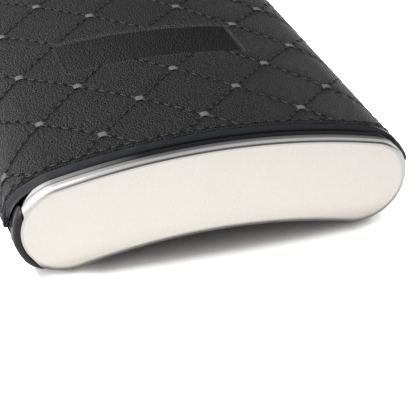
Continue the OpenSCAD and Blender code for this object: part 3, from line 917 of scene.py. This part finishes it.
def helix(radius, start, turns, settings):
    # a right-hand helix about the neck's axis
    angle = np.linspace(0, turns * 2 * math.pi, round(turns * settings["turnSteps"]) + 1)
    low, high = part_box("neck_spout")
    axisX, axisZ = [(low[k] + high[k]) / 2 / millimetre for k in (0, 2)]
    normals = np.stack([np.sin(angle), 0 * angle, np.cos(angle)], -1)
    rise = start + settings["pitch"] * angle / (2 * math.pi)
    middle = np.stack([axisX + 0 * angle, rise, axisZ + 0 * angle], -1)
    return middle + radius * normals, normals


def makeScrewThread(name, side, turned, body, settings):
    # the ridge is a round cord, half sunk in the wall of the spout or the liner
    ridge = helix(settings[side + "Radius"], settings[side + "Start"], settings[side + "Turns"], settings)
    inputs = {"Radius": settings[side + "Ridge"] * millimetre, "Sides": settings["ridgeSides"],
              "Material": turned}
    growPiece(name, [ridge], cordTree(), inputs, body)


makeScrewThread("spoutThread", "spout", polished, "flask", screw)
makeScrewThread("linerThread", "liner", polypropylene, "cap", screw)

studio = {
    "floorSize": 3.0,  # metres
    # the floor's brightness to matt surfaces, to the lens and to the steel
    "floorPaper": 0.85,
    "floorToLens": (2.1, 6.0),  # under the flask's hollow and farther out; the higher level farther out is painted light that washes out the flask's shadow on the floor
    "hollow": ((0.004, -0.075), (0.034, 0.022)),  # its middle and half size
    "hollowFade": (0.9, 1.25),  # shares of that size between which it brightens
    "floorToSteel": 1.06,
    # light of the room by height: 0 the front's horizon, 0.5 overhead, 1 the back's horizon
    "roomMirrored": [(0.0, (0.15, 0.13, 0.115)), (0.12, (0.15, 0.13, 0.115)), (0.18, (0.55, 0.55, 0.55)),
                     (0.36, (0.55, 0.55, 0.55)), (0.44, (0.2, 0.2, 0.2)), (0.6, (0.17, 0.175, 0.185)),
                     (0.74, (0.06, 0.064, 0.072)), (0.82, (0.025, 0.028, 0.034)), (0.94, (0.04, 0.04, 0.04)),
                     (0.98, (0.1, 0.1, 0.1)), (1.0, (0.12, 0.12, 0.12))],
    "roomCast": [(0.0, (0.03, 0.03, 0.03)), (0.25, (0.05, 0.05, 0.05)), (0.4, (0.25, 0.25, 0.25)),
                 (0.5, (0.6, 0.6, 0.6)), (0.7, (0.6, 0.6, 0.6)), (1.0, (0.2, 0.2, 0.2))],
    # mirrored only: it starts and is full where a direction points this far aside, and its strength
    "sideGlows": [(0.12, -0.35, 1.1), (0.8, 0.98, 0.45)],
    # place and size in metres, watts, and whether it lights matt surfaces and shows in glossy ones
    "lamps": {
        "softboxOverhead": ((-0.38, 0.05, 0.75), (0.22, 0.2), 4.4, True, False),
        "softboxFront": ((-0.32, -0.43, 0.68), (0.5, 0.16), 1.3, False, True),
    },
}


def makeFloor(settings):
    half, low = settings["floorSize"] / 2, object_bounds()[0][2]  # level with the flask's lowest stitch
    mesh = bpy.data.meshes.new("floor")
    mesh.from_pydata([(-half, -half, low), (half, -half, low), (half, half, low), (-half, half, low)],
                     [], [(0, 1, 2, 3)])
    floor = bpy.data.objects.new("floor", mesh)
    scene.collection.objects.link(floor)
    material, tree = newMaterial("paperSeamless")
    path = addNode(tree, "ShaderNodeLightPath")
    (hollowX, hollowY), (halfX, halfY) = settings["hollow"]
    place = addNode(tree, "ShaderNodeMapping", {"vector_type": "TEXTURE", "Location": (hollowX, hollowY, 0),
                                                "Scale": (halfX, halfY, 1)},
                    {"Vector": addNode(tree, "ShaderNodeTexCoord").outputs["Object"]})
    reach = addNode(tree, "ShaderNodeVectorMath", {"operation": "LENGTH"}, {0: place.outputs[0]})
    # painted light: to the lens the floor brightens away from the flask's hollow, so the flask's shadow only
    # shows under it
    near, far = settings["floorToLens"]
    shadowWash = addNode(tree, "ShaderNodeMapRange",
                     {"interpolation_type": "SMOOTHSTEP", "From Min": settings["hollowFade"][0],
                      "From Max": settings["hollowFade"][1], "To Min": near, "To Max": far},
                     {"Value": reach.outputs["Value"]})
    toLens = addNode(tree, "ShaderNodeMapRange", {"To Min": settings["floorPaper"]},
                     {"Value": path.outputs["Is Camera Ray"], "To Max": shadowWash.outputs[0]})
    toSteel = addNode(tree, "ShaderNodeMapRange",
                      {"To Min": 0.0, "To Max": settings["floorToSteel"] - settings["floorPaper"]},
                      {"Value": path.outputs["Is Glossy Ray"]})
    level = addNode(tree, "ShaderNodeMath", {"operation": "ADD"},
                    {0: toLens.outputs[0], 1: toSteel.outputs[0]})
    shader = addNode(tree, "ShaderNodeBsdfDiffuse", links={"Color": level.outputs[0]})
    addNode(tree, "ShaderNodeOutputMaterial", links={"Surface": shader.outputs[0]})
    mesh.materials.append(material)
    floor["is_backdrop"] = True


def makeRoom(settings):
    # one room lights the matt surfaces from overhead, another is mirrored by the steel, brightest high in
    # front and with a glow on either side, and the lens sees plain white
    world = bpy.data.worlds.new("studio")
    scene.world = world
    world.use_nodes = True
    tree = world.node_tree
    tree.nodes.clear()
    direction = addNode(tree, "ShaderNodeTexCoord").outputs["Generated"]
    parts = addNode(tree, "ShaderNodeSeparateXYZ", links={0: direction})
    forward = addNode(tree, "ShaderNodeMath", {"operation": "MULTIPLY", 1: -1.0}, {0: parts.outputs["Y"]})
    turn = addNode(tree, "ShaderNodeMath", {"operation": "ARCTAN2"},
                   {0: parts.outputs["Z"], 1: forward.outputs[0]})
    share = addNode(tree, "ShaderNodeMath", {"operation": "DIVIDE", 1: math.pi}, {0: turn.outputs[0]})
    skies = []
    for stops in (settings["roomCast"], settings["roomMirrored"]):
        ramp = addNode(tree, "ShaderNodeValToRGB", links={0: share.outputs[0]})
        elements = ramp.color_ramp.elements
        while len(elements) < len(stops):
            elements.new(0.5)
        for element, (position, value) in zip(elements, stops):
            element.position = position
            element.color = value + (1,)
        skies.append(addNode(tree, "ShaderNodeBackground", links={"Color": ramp.outputs[0]}))
    mirrored = skies[1]
    for start, full, strength in settings["sideGlows"]:
        glow = addNode(tree, "ShaderNodeMapRange", {"From Min": start, "From Max": full, "To Min": 0.0,
                                                    "To Max": strength}, {"Value": parts.outputs["X"]})
        side = addNode(tree, "ShaderNodeBackground", {"Color": (1, 1, 1, 1)}, {"Strength": glow.outputs[0]})
        mirrored = addNode(tree, "ShaderNodeAddShader", links={0: mirrored.outputs[0], 1: side.outputs[0]})
    path = addNode(tree, "ShaderNodeLightPath")
    room = addNode(tree, "ShaderNodeMixShader",
                   links={0: path.outputs["Is Glossy Ray"], 1: skies[0].outputs[0], 2: mirrored.outputs[0]})
    white = addNode(tree, "ShaderNodeBackground", {"Strength": 1.0, "Color": (1, 1, 1, 1)})
    mixed = addNode(tree, "ShaderNodeMixShader",
                    links={0: path.outputs["Is Camera Ray"], 1: room.outputs[0], 2: white.outputs[0]})
    addNode(tree, "ShaderNodeOutputWorld", links={"Surface": mixed.outputs[0]})


def makeSoftbox(name, place, size, watts, lightsMatt, lightsGloss):
    data = bpy.data.lights.new(name, "AREA")
    data.shape = "RECTANGLE"
    data.size, data.size_y = size
    data.energy = watts
    lamp = bpy.data.objects.new(name, data)
    scene.collection.objects.link(lamp)
    lamp.visible_diffuse, lamp.visible_glossy = lightsMatt, lightsGloss
    lamp.location = place
    lamp.rotation_euler = (-lamp.location).to_track_quat("-Z", "Y").to_euler()


makeFloor(studio)
makeRoom(studio)
for lampName, lampSettings in studio["lamps"].items():
    makeSoftbox(lampName, *lampSettings)
print("floor, room and light made")
